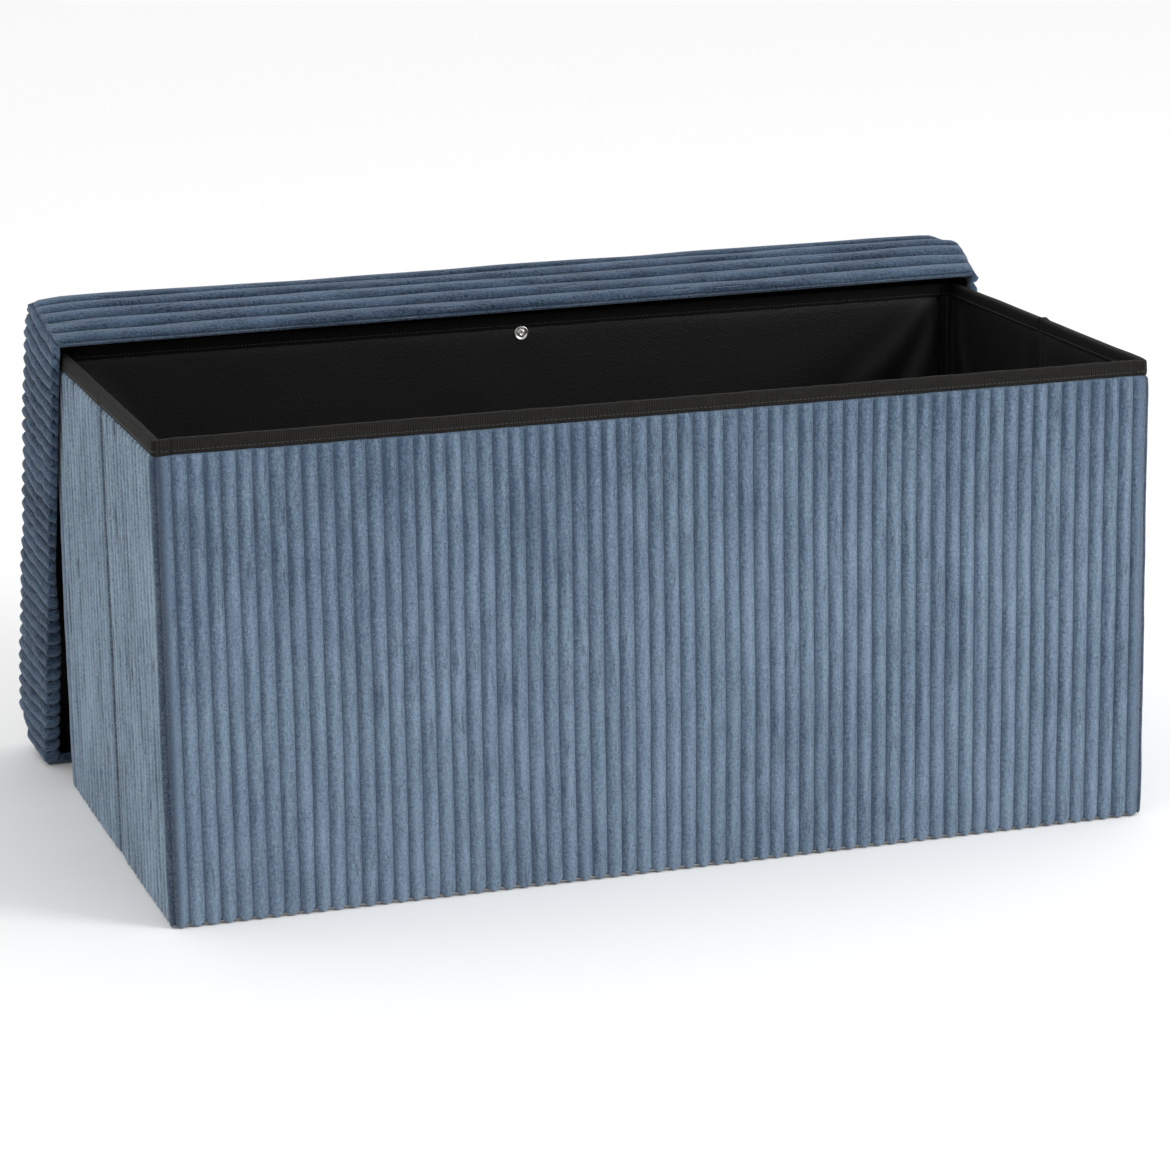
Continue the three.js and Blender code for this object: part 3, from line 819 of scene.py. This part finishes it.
def lid_pad():
    """The lid's padded cover: ribs along its length on top and long skirts, and across its thickness
    at the ends, with sewn corners; it wraps the lip and closes behind the lining."""
    lip_row, (points, normal, flat, faces, uv, down, ring) = pad_surface()
    row = flat[:, 5].astype(int)
    beside_x, beside_y = flat[:, 3] - np.abs(flat[:, 0]), flat[:, 4] - np.abs(flat[:, 1])
    on_end = beside_x < 1e-6
    on_long = (beside_y < 1e-6) & (row > 0)
    along = flat[:, 1] / flat[:, 4]
    rib_u = ((along + 1) / 2 * RIBS_DEEP) % 1
    hump = dome(rib_u)
    skirt_phase = np.clip(down[row] / down[lip_row], 0, 1) * RIBS_SKIRT
    skirt_u = np.where(skirt_phase < RIBS_SKIRT, skirt_phase % 1, 0)
    hump = np.where(on_long, dome(skirt_u), hump)
    # painted light: one flank of each rib is painted lighter
    flank = flank_light(np.where(on_long, 1 - skirt_u, rib_u))
    # the ribs fade out at the sewn corners, at the top's edge and round the lip
    seam = np.where(on_long, smooth(beside_x / (9 * MM)), 1) * np.where(
        on_end & (row > 0), smooth(beside_y / (7 * MM)), 1)
    top_edge = 1 - 0.25 * bell(down[row], 3 * MM) * (row > 0)
    wrapped = 1 - smooth((row - lip_row - 1) / 4)
    body = 1 + 0.12 * soft_noise(flat[:, 1] + flat[:, 2], flat[:, 0], 9 * MM, 60 * MM, 51)
    lift = np.clip(hump * seam * top_edge * wrapped * body, 0, 1.15)
    sewn = 0.9 * MM * (1 - seam) * (row > 0)
    on_skirt = (row <= lip_row) * (row > 0)
    relief = np.where(on_end, END_RELIEF, LONG_RELIEF)
    height = np.where(row > lip_row + 5, 0, 1.7 * MM - relief + sewn + relief * lift)
    height = np.where((row > lip_row + 2) & (row <= lip_row + 5),
                      np.clip(height, -0.1 * MM, 0.3 * MM), height)
    # the skirts are full in the middle
    plump = np.where(on_end, END_PLUMP, LONG_PLUMP) * on_skirt
    plump = plump * np.sin(np.pi * np.clip(down[row] / down[lip_row], 0, 1))
    height = height + plump * smooth(np.where(on_end, beside_y, beside_x) / (40 * MM))
    points = points + normal * height[:, None]
    field = crown_field()
    points[:, 2] += bilinear(*field, flat[:, 0], flat[:, 1]) * np.clip(normal[:, 2], 0, 1) * (row == 0)
    sway = np.stack([soft_noise(flat[:, 0] + 7 * flat[:, 2], flat[:, 1], 55 * MM, 30 * MM, 52 + k)
                     for k in range(3)], 1)
    loose = (row <= lip_row)[:, None] * np.array([0.6, 0.9, 0.75]) * MM
    points = points + sway * loose
    # the long edges sag
    side_x, side_y = np.sign(flat[:, 0]), np.sign(flat[:, 1])
    from_edge = np.where(row == 0, beside_y, down[row])
    slack = np.exp(-(from_edge / SAG_REACH) ** 1.5) * (row <= lip_row) * (beside_y < 60 * MM)
    slack = slack * np.where(on_end, np.exp(-beside_y / (10 * MM)), 1) * (1.0 + 0.35 * flat[:, 0] / PAD_X)
    points[:, 1] -= side_y * SAG_IN * slack
    points[:, 2] -= SAG_DOWN * slack
    # the top's corners are soft, but one of them much less so
    high = smooth((points[:, 2] - 40 * MM) / (24 * MM))
    tip = smooth(1 - beside_x / TIP_REACH) * smooth(1 - beside_y / TIP_REACH) * high
    tip = tip * np.where((side_x < 0) & (side_y < 0), 0.25, 1)
    points[:, 0] -= side_x * TIP_X * tip
    points[:, 1] -= side_y * TIP_Y * tip
    points[:, 2] -= TIP_Z * tip
    # at the ends the grooves stop short of the lip
    low = smooth(1 - flat[:, 2] / (18 * MM)) * on_end * (row <= lip_row + 2) * (row > 0)
    rounded = np.sqrt(np.clip(1 - (2 * rib_u - 1) ** 2, 0, 1))
    points[:, 2] += (6.0 * (1 - rounded) - 0.6) * MM * low
    points[:, 0] += side_x * 0.8 * MM * rounded * low
    # beside the box there is no room, behind it there is, and the lip is plumper
    room = smooth((in_place(points)[:, 1] - REAR_Y - 8 * MM) / (25 * MM))
    # each rib of an end wraps the lip as a lobe, which reaches down and in over the lining's edge
    past, lobe = row - lip_row, rounded * on_end * MM
    points[:, 2] -= lobe * np.interp(past, [-2, -1, 3, 4, 5, 6], [0, 2.6, 2.6, 2.2, 1.2, 0])
    points[:, 0] -= side_x * lobe * room * np.interp(past, [1, 3, 4, 5, 6], [0, 0.9, 1.9, 2.5, 0])
    plumper = room * MM * np.interp(past, [1, 2, 3, 4, 5, 6, 7], [0, 0.5, 1.4, 2.6, 3.6, 3.2, 0])
    points[:, 0] -= side_x * plumper * on_end
    points[:, 1] -= side_y * plumper * 1.6 * on_long
    points[:, 2] -= room * on_long * MM * np.interp(past, [0, 2, 4, 5, 6], [0, 1.2, 1.4, 0.8, 0])
    # the rib attribute sets the painted groove shade; the lobes round the lip get a painted highlight,
    # and the long lip and the sewn corners stay mid-tone
    wrapping = (past > 0) & (past <= 5)
    shade = np.where(on_end & wrapping, np.maximum(lift, 0.9 * rounded), lift)
    shade = np.where(on_long & wrapping, 0.8, shade)
    shade = np.maximum(shade, 0.6 * (1 - seam) * on_skirt)
    points = in_place(points)
    points[:, 2] = np.maximum(points[:, 2], 0.3 * MM)
    uv = np.concatenate([uv, flat[ring][:, :2]])
    shades = {"rib": np.clip(shade, 0, 1), "flank": flank}
    piece = make_mesh("lid_pad", points, faces + [ring], uv, len(faces), shades)
    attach(piece, "lid")
    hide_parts("lid_cover", "lid_foam")
    return piece


def lid_tray():
    """The lid's black lining, a shallow tray with rounded inner corners."""
    xs, ys = np.linspace(-1, 1, 101), np.linspace(-1, 1, 55)
    depths = np.concatenate([[0, 0.8, 1.8, 3, 4.5], np.linspace(7, TRAY_TOP / MM - 1.2, 9)])
    rows = [(TRAY_TOP - d * MM, TRAY_X, TRAY_Y) for d in depths]
    points, normal, flat, faces, uv, _, ring = box_surface(xs, ys, rows, TRAY_TOP, 4 * MM)
    beside = np.min(flat[:, 3:5] - np.abs(flat[:, :2]), axis=1)
    calm = smooth(beside / (30 * MM))
    ripple = 0.3 * MM * soft_noise(flat[:, 0], flat[:, 1], 60 * MM, 45 * MM, 61) * calm
    points[:, 2] += np.where(flat[:, 5] == 0, ripple, 0)
    outer = points + normal * 0.5 * MM
    count = len(points)
    faces = [f[::-1] for f in faces]
    flipped = [[v + count for v in f[::-1]] for f in faces]
    rim = [[a, b, b + count, a + count] for a, b in zip(ring, ring[1:] + ring[:1])]
    uv = uv.reshape(-1, 4, 2)[:, ::-1]
    uv = np.concatenate([uv.reshape(-1, 2), uv[:, ::-1].reshape(-1, 2), np.zeros((4 * len(rim), 2))])
    verts = in_place(np.concatenate([points, outer]))
    piece = make_mesh("lid_tray_cloth", verts, faces + flipped + rim, uv, len(faces) * 2)
    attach(piece, "lid")
    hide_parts("lid_lining")
    return piece


pad = lid_pad()
tray = lid_tray()

# ---------------------------------------------------------------- materials
class Nodes:
    """A material's node tree, with short calls to add nodes."""

    def __init__(self, name, roughness, specular=0.5, sheen=0.0, sheen_roughness=0.5,
                 tint=(1, 1, 1), metallic=0.0):
        self.material = bpy.data.materials.new(name)
        self.material.use_nodes = True
        self.tree = self.material.node_tree
        self.shader = self.tree.nodes["Principled BSDF"]
        self.shader.inputs["Roughness"].default_value = roughness
        self.shader.inputs["Specular IOR Level"].default_value = specular
        self.shader.inputs["Sheen Weight"].default_value = sheen
        self.shader.inputs["Sheen Roughness"].default_value = sheen_roughness
        self.shader.inputs["Sheen Tint"].default_value = (*tint, 1)
        self.shader.inputs["Metallic"].default_value = metallic

    def add(self, kind, inputs=None, **settings):
        node = self.tree.nodes.new(kind)
        for key, value in settings.items():
            setattr(node, key, value)
        for key, value in (inputs or {}).items():
            self.put(node.inputs[key], value)
        return node

    def put(self, socket, value):
        if isinstance(value, bpy.types.NodeSocket):
            self.tree.links.new(value, socket)
        else:
            socket.default_value = value

    def attribute(self, name):
        return self.add("ShaderNodeAttribute", attribute_name=name).outputs["Fac"]

    def uv(self, x, y):
        """The cloth's own coordinates, in metres, scaled."""
        place = self.add("ShaderNodeUVMap", uv_map="cloth")
        return self.add("ShaderNodeMapping", {"Vector": place.outputs[0], "Scale": (x, y, 1)}).outputs[0]

    def noise(self, where, scale=1.0, detail=2.0, rough=0.5, distortion=0.0):
        node = self.add("ShaderNodeTexNoise", {"Vector": where, "Scale": scale, "Detail": detail,
                                               "Roughness": rough, "Distortion": distortion})
        return node.outputs[0]

    def spread(self, value, low, high, to_low=0.0, to_high=1.0):
        return self.add("ShaderNodeMapRange", {"Value": value, "From Min": low, "From Max": high,
                                               "To Min": to_low, "To Max": to_high}).outputs[0]

    def math(self, operation, a, b=0.0):
        return self.add("ShaderNodeMath", {0: a, 1: b}, operation=operation).outputs[0]

    def times(self, a, b):
        return self.math("MULTIPLY", a, b)

    def plus(self, a, b):
        return self.math("ADD", a, b)

    def mix(self, factor, a, b, blend_type="MIX"):
        node = self.add("ShaderNodeMix", data_type="RGBA", blend_type=blend_type)
        self.put(node.inputs["Factor"], factor)
        self.put(node.inputs["A"], (*a, 1) if isinstance(a, tuple) else a)
        self.put(node.inputs["B"], (*b, 1) if isinstance(b, tuple) else b)
        return node.outputs["Result"]

    def bump(self, height, distance, strength=1.0, below=None):
        inputs = {"Height": height, "Distance": distance, "Strength": strength}
        if below is not None:
            inputs["Normal"] = below
        return self.add("ShaderNodeBump", inputs).outputs[0]

    def done(self, color, normal=None, roughness=None):
        self.put(self.shader.inputs["Base Color"], color)
        if normal is not None:
            self.put(self.shader.inputs["Normal"], normal)
        if roughness is not None:
            self.put(self.shader.inputs["Roughness"], roughness)
        return self.material


def corduroy(name, dark, light, groove, mottle, flecks, under_tape_shade):
    """Plush corduroy: one flank of each rib painted lighter as painted light, patches, streaks along the
    ribs, tufts, painted shade in the grooves, a band of painted shade under the tape, and painted shade
    at the bends."""
    n = Nodes(name, 0.92, 0.1, 0.4, 0.32, (0.78, 0.88, 1.0))
    rib, flank, opened = n.attribute("rib"), n.attribute("flank"), n.attribute("opened")
    up = n.add("ShaderNodeSeparateXYZ", {0: n.uv(1, 1)}).outputs["Y"]
    patches = n.noise(n.uv(15, 6), detail=5, rough=0.6, distortion=0.8)
    ribs = n.noise(n.uv(60, 5), detail=2)
    streaks = n.noise(n.uv(190, 24), detail=4, rough=0.65, distortion=0.5)
    tufts = n.noise(n.uv(520, 400), detail=3, rough=0.75, distortion=0.6)
    fuzz = n.noise(n.uv(1500, 1300), detail=2)
    specks = n.noise(n.uv(950, 800), detail=2, rough=0.7)
    # painted shade: darker towards the top of the wall, under the tape
    tone = n.spread(up, 0.18, 0.345, 0.50, 0.50 - under_tape_shade)
    # the flank term is painted light, one flank of each rib lighter; the noises are tone that varies at
    # random
    for source, gain in ((patches, 2 * mottle), (ribs, 0.3), (streaks, 1.1),
                         (tufts, 1.7), (fuzz, 0.9), (flank, 0.36 * (1 + 0.5 * (flecks - 1)))):
        tone = n.plus(tone, n.times(n.math("SUBTRACT", source, 0.5), gain))
    tone = n.plus(tone, n.times(n.spread(specks, 0.60, 0.74), 0.30))
    # painted shade at the creases and corners, joined below with the darker flecks of crushed pile, which
    # the cloth has of its own
    bend_shade_and_flecks = n.spread(n.plus(tufts, n.times(streaks, 0.6)), 0.68, 0.82)
    bend_shade_and_flecks = n.math("MINIMUM", n.times(opened, n.plus(bend_shade_and_flecks, n.times(opened, 0.2))), 1.0)
    colour = n.mix(n.spread(tone, 0, 1), dark, light)
    # painted shade: where the rib is low, in the grooves, the colour goes to the darker groove colour
    colour = n.mix(n.spread(rib, 0.0, 0.40), groove, colour)
    marks = n.noise(n.uv(300 / flecks, 42 / flecks), detail=3, rough=0.6, distortion=0.4)
    where_marked = n.spread(n.noise(n.uv(26, 9), detail=2), 0.50, 0.60, 0, 0.42 * flecks)
    marks = n.times(n.spread(marks, 0.585, 0.66), where_marked)
    bend_shade_and_flecks = n.math("MAXIMUM", bend_shade_and_flecks, marks)
    colour = n.mix(bend_shade_and_flecks, colour, (dark[0] * 0.7, dark[1] * 0.7, dark[2] * 0.75))
    height = n.plus(n.times(fuzz, 0.45), tufts)
    height = n.plus(height, n.times(streaks, 0.5))
    height = n.math("SUBTRACT", height, bend_shade_and_flecks)
    return n.done(colour, n.bump(height, 0.0019, 1.0))


def nonwoven(name):
    """Thin black spunbonded cloth with a faint crossing of fibres and small bonding dots."""
    n = Nodes(name, 0.48, 0.22, 0.02, 0.5)
    fibres = n.noise(n.uv(900, 900), detail=4, rough=0.7)
    dots = n.add("ShaderNodeTexVoronoi", {"Vector": n.uv(620, 620), "Scale": 1.0}).outputs["Distance"]
    clouds = n.noise(n.uv(9, 9), detail=3)
    colour = n.mix(n.spread(fibres, 0.3, 0.7), (0.0022, 0.0019, 0.0019), (0.0052, 0.0045, 0.0043))
    colour = n.mix(n.spread(clouds, 0.35, 0.75, 0, 0.5), colour, (0.0060, 0.0053, 0.0050))
    # painted highlight: the crests of the lining's folds are painted lighter
    fold_highlight = n.times(n.attribute("fold"), n.spread(fibres, 0.2, 0.7, 0.5, 1))
    colour = n.mix(fold_highlight, colour, (0.026, 0.023, 0.023))
    height = n.plus(n.times(fibres, 0.4), n.times(dots, 0.5))
    return n.done(colour, n.bump(height, 0.0004, 0.6))


box_corduroy = corduroy("box_corduroy", (0.056, 0.090, 0.142), (0.218, 0.292, 0.388),
                        (0.100, 0.146, 0.208), 0.36, 1.0, 0.26)
# the side walls take a lighter copy of the cloth, as painted light, with more flecks and darker grooves
# as painted shade
side_corduroy = corduroy("side_corduroy", (0.054, 0.088, 0.128), (0.310, 0.412, 0.515),
                         (0.066, 0.104, 0.142), 0.6, 2.2, 0.05)
lining_cloth = nonwoven("lining_cloth")
# the lid takes a darker copy of the cloth, as painted shade
lid_corduroy = corduroy("lid_corduroy", (0.012, 0.024, 0.047), (0.095, 0.145, 0.220),
                        (0.011, 0.021, 0.038), 0.75, 1.3, 0.0)


def grosgrain(name):
    """Black ribbed tape: fine cords across its width, a little dust and wear."""
    n = Nodes(name, 0.8, 0.16, 0.0, 0.4)
    place = n.uv(1, 1)
    cords = n.add("ShaderNodeTexWave", {"Vector": place, "Scale": 180.0, "Distortion": 0.6, "Detail": 1.0,
                                        "Detail Scale": 2.0}, bands_direction="X").outputs["Fac"]
    dust = n.noise(n.uv(90, 260), detail=4, rough=0.65)
    colour = n.mix(n.spread(cords, 0.1, 0.9), (0.0040, 0.0036, 0.0031), (0.0118, 0.0110, 0.0100))
    colour = n.mix(n.spread(dust, 0.45, 0.8, 0, 0.45), colour, (0.021, 0.020, 0.019))
    # inside the box, past the rim's top, the tape is painted darker: painted shade
    over = n.add("ShaderNodeSeparateXYZ", {0: place}).outputs["Y"]
    colour = n.mix(n.spread(over, 0.015, 0.020, 0, 0.6), colour, (0.0030, 0.0027, 0.0026))
    height = n.plus(n.times(cords, 0.7), n.times(dust, 0.4))
    return n.done(colour, n.bump(height, 0.0005, 0.8))


def thread(name):
    n = Nodes(name, 0.55, 0.4, 0.2, 0.4)
    where = n.add("ShaderNodeTexCoord").outputs["Object"]
    twist = n.noise(where, 3000, 1)
    return n.done(n.mix(twist, (0.009, 0.009, 0.009), (0.032, 0.032, 0.032)), n.bump(twist, 0.0002, 0.6))


def metal(name):
    """Plated steel with faint turning marks and handling scratches."""
    n = Nodes(name, 0.28, 0.5, metallic=1.0)
    where = n.add("ShaderNodeTexCoord").outputs["Object"]
    marks = n.noise(where, 900, 3, 0.6)
    smudge = n.noise(where, 160, 3, 0.6)
    colour = n.mix(n.spread(smudge, 0.3, 0.7), (0.72, 0.71, 0.69), (0.86, 0.85, 0.83))
    return n.done(colour, n.bump(marks, 0.0001, 0.4), n.spread(smudge, 0.2, 0.8, 0.2, 0.42))


def fibreboard(name):
    """Wood fibre board painted near black, so that where it shows below the cloth it reads as painted
    shade: flecks, short strands and darker specks.
    """
    n = Nodes(name, 0.85, 0.25)
    where = n.add("ShaderNodeTexCoord").outputs["Object"]
    strands = n.noise(where, 700, 6, 0.75, 1.2)
    clouds = n.noise(where, 25, 4, 0.6)
    specks = n.add("ShaderNodeTexVoronoi", {"Vector": where, "Scale": 420.0}).outputs["Distance"]
    colour = n.mix(n.spread(strands, 0.3, 0.7), (0.012, 0.015, 0.020), (0.030, 0.036, 0.045))
    colour = n.mix(n.spread(clouds, 0.3, 0.7, 0, 0.35), colour, (0.024, 0.028, 0.034))
    colour = n.mix(n.spread(specks, 0.10, 0.22, 0.5, 0), colour, (0.006, 0.007, 0.009))
    return n.done(colour, n.bump(strands, 0.0004, 0.7))


board = fibreboard("fibreboard")
finishes = [
    ([p for patch, p in cloth_pieces.items() if patch.startswith(("left", "right"))], side_corduroy),
    ([p for patch, p in cloth_pieces.items() if not patch.startswith(("left", "right"))], box_corduroy),
    ([pad], lid_corduroy), (lining_pieces + [sleeve, tray], lining_cloth),
    (tape_pieces, grosgrain("binding_tape")), (stitch_pieces, thread("thread")),
    ((stud, socket), metal("snap_metal")),
]
for pieces, finish in finishes:
    for piece in pieces:
        piece.data.materials.append(finish)
for name, node in frame["nodes"].items():
    if name.endswith(("_board", "_rail")):
        node.data.materials.clear()
        node.data.materials.append(board)

# ---------------------------------------------------------------- floor, light and camera
bpy.ops.mesh.primitive_plane_add(size=14, location=(0, 0, 0))
floor = bpy.context.object
floor.name = "floor"
paint = Nodes("floor_paint", 0.9, 0.1)
floor.data.materials.append(paint.done((0.93, 0.93, 0.93, 1)))

world = bpy.data.worlds.new("studio")
world.use_nodes = True
world.node_tree.nodes["Background"].inputs["Color"].default_value = (1, 1, 1, 1)
world.node_tree.nodes["Background"].inputs["Strength"].default_value = 1.0
scene = bpy.context.scene
scene.world = world
scene.view_settings.view_transform = "Standard"


def area_light(name, place, target, size, power):
    data = bpy.data.lights.new(name, "AREA")
    data.size, data.energy = size, power
    lamp = bpy.data.objects.new(name, data)
    scene.collection.objects.link(lamp)
    lamp.location = place
    lamp.rotation_euler = (Vector(target) - Vector(place)).to_track_quat("-Z", "Y").to_euler()


area_light("key", place=(3.2, -2.9, 2.2), target=(0, 0, 0.2), size=1.6, power=116)

AZIMUTH, ELEVATION, ROLL = math.radians(-17.800), math.radians(14.246), math.radians(-0.923)
LENS, SENSOR, DISTANCE, AIM = 121.68, 36, 3.026, Vector((-0.0068, 0, 0.1732))
back = Vector((math.sin(AZIMUTH) * math.cos(ELEVATION), -math.cos(AZIMUTH) * math.cos(ELEVATION),
               math.sin(ELEVATION)))
right = Vector((math.cos(AZIMUTH), math.sin(AZIMUTH), 0))
up = back.cross(right)
across = right * math.cos(ROLL) + up * math.sin(ROLL)
upward = up * math.cos(ROLL) - right * math.sin(ROLL)
camera_data = bpy.data.cameras.new("camera")
camera_data.lens, camera_data.sensor_width = LENS, SENSOR
camera = bpy.data.objects.new("camera", camera_data)
scene.collection.objects.link(camera)
camera.matrix_world = Matrix.Translation(AIM + back * DISTANCE) @ Matrix(
    (across, upward, back)).transposed().to_4x4()
scene.camera = camera
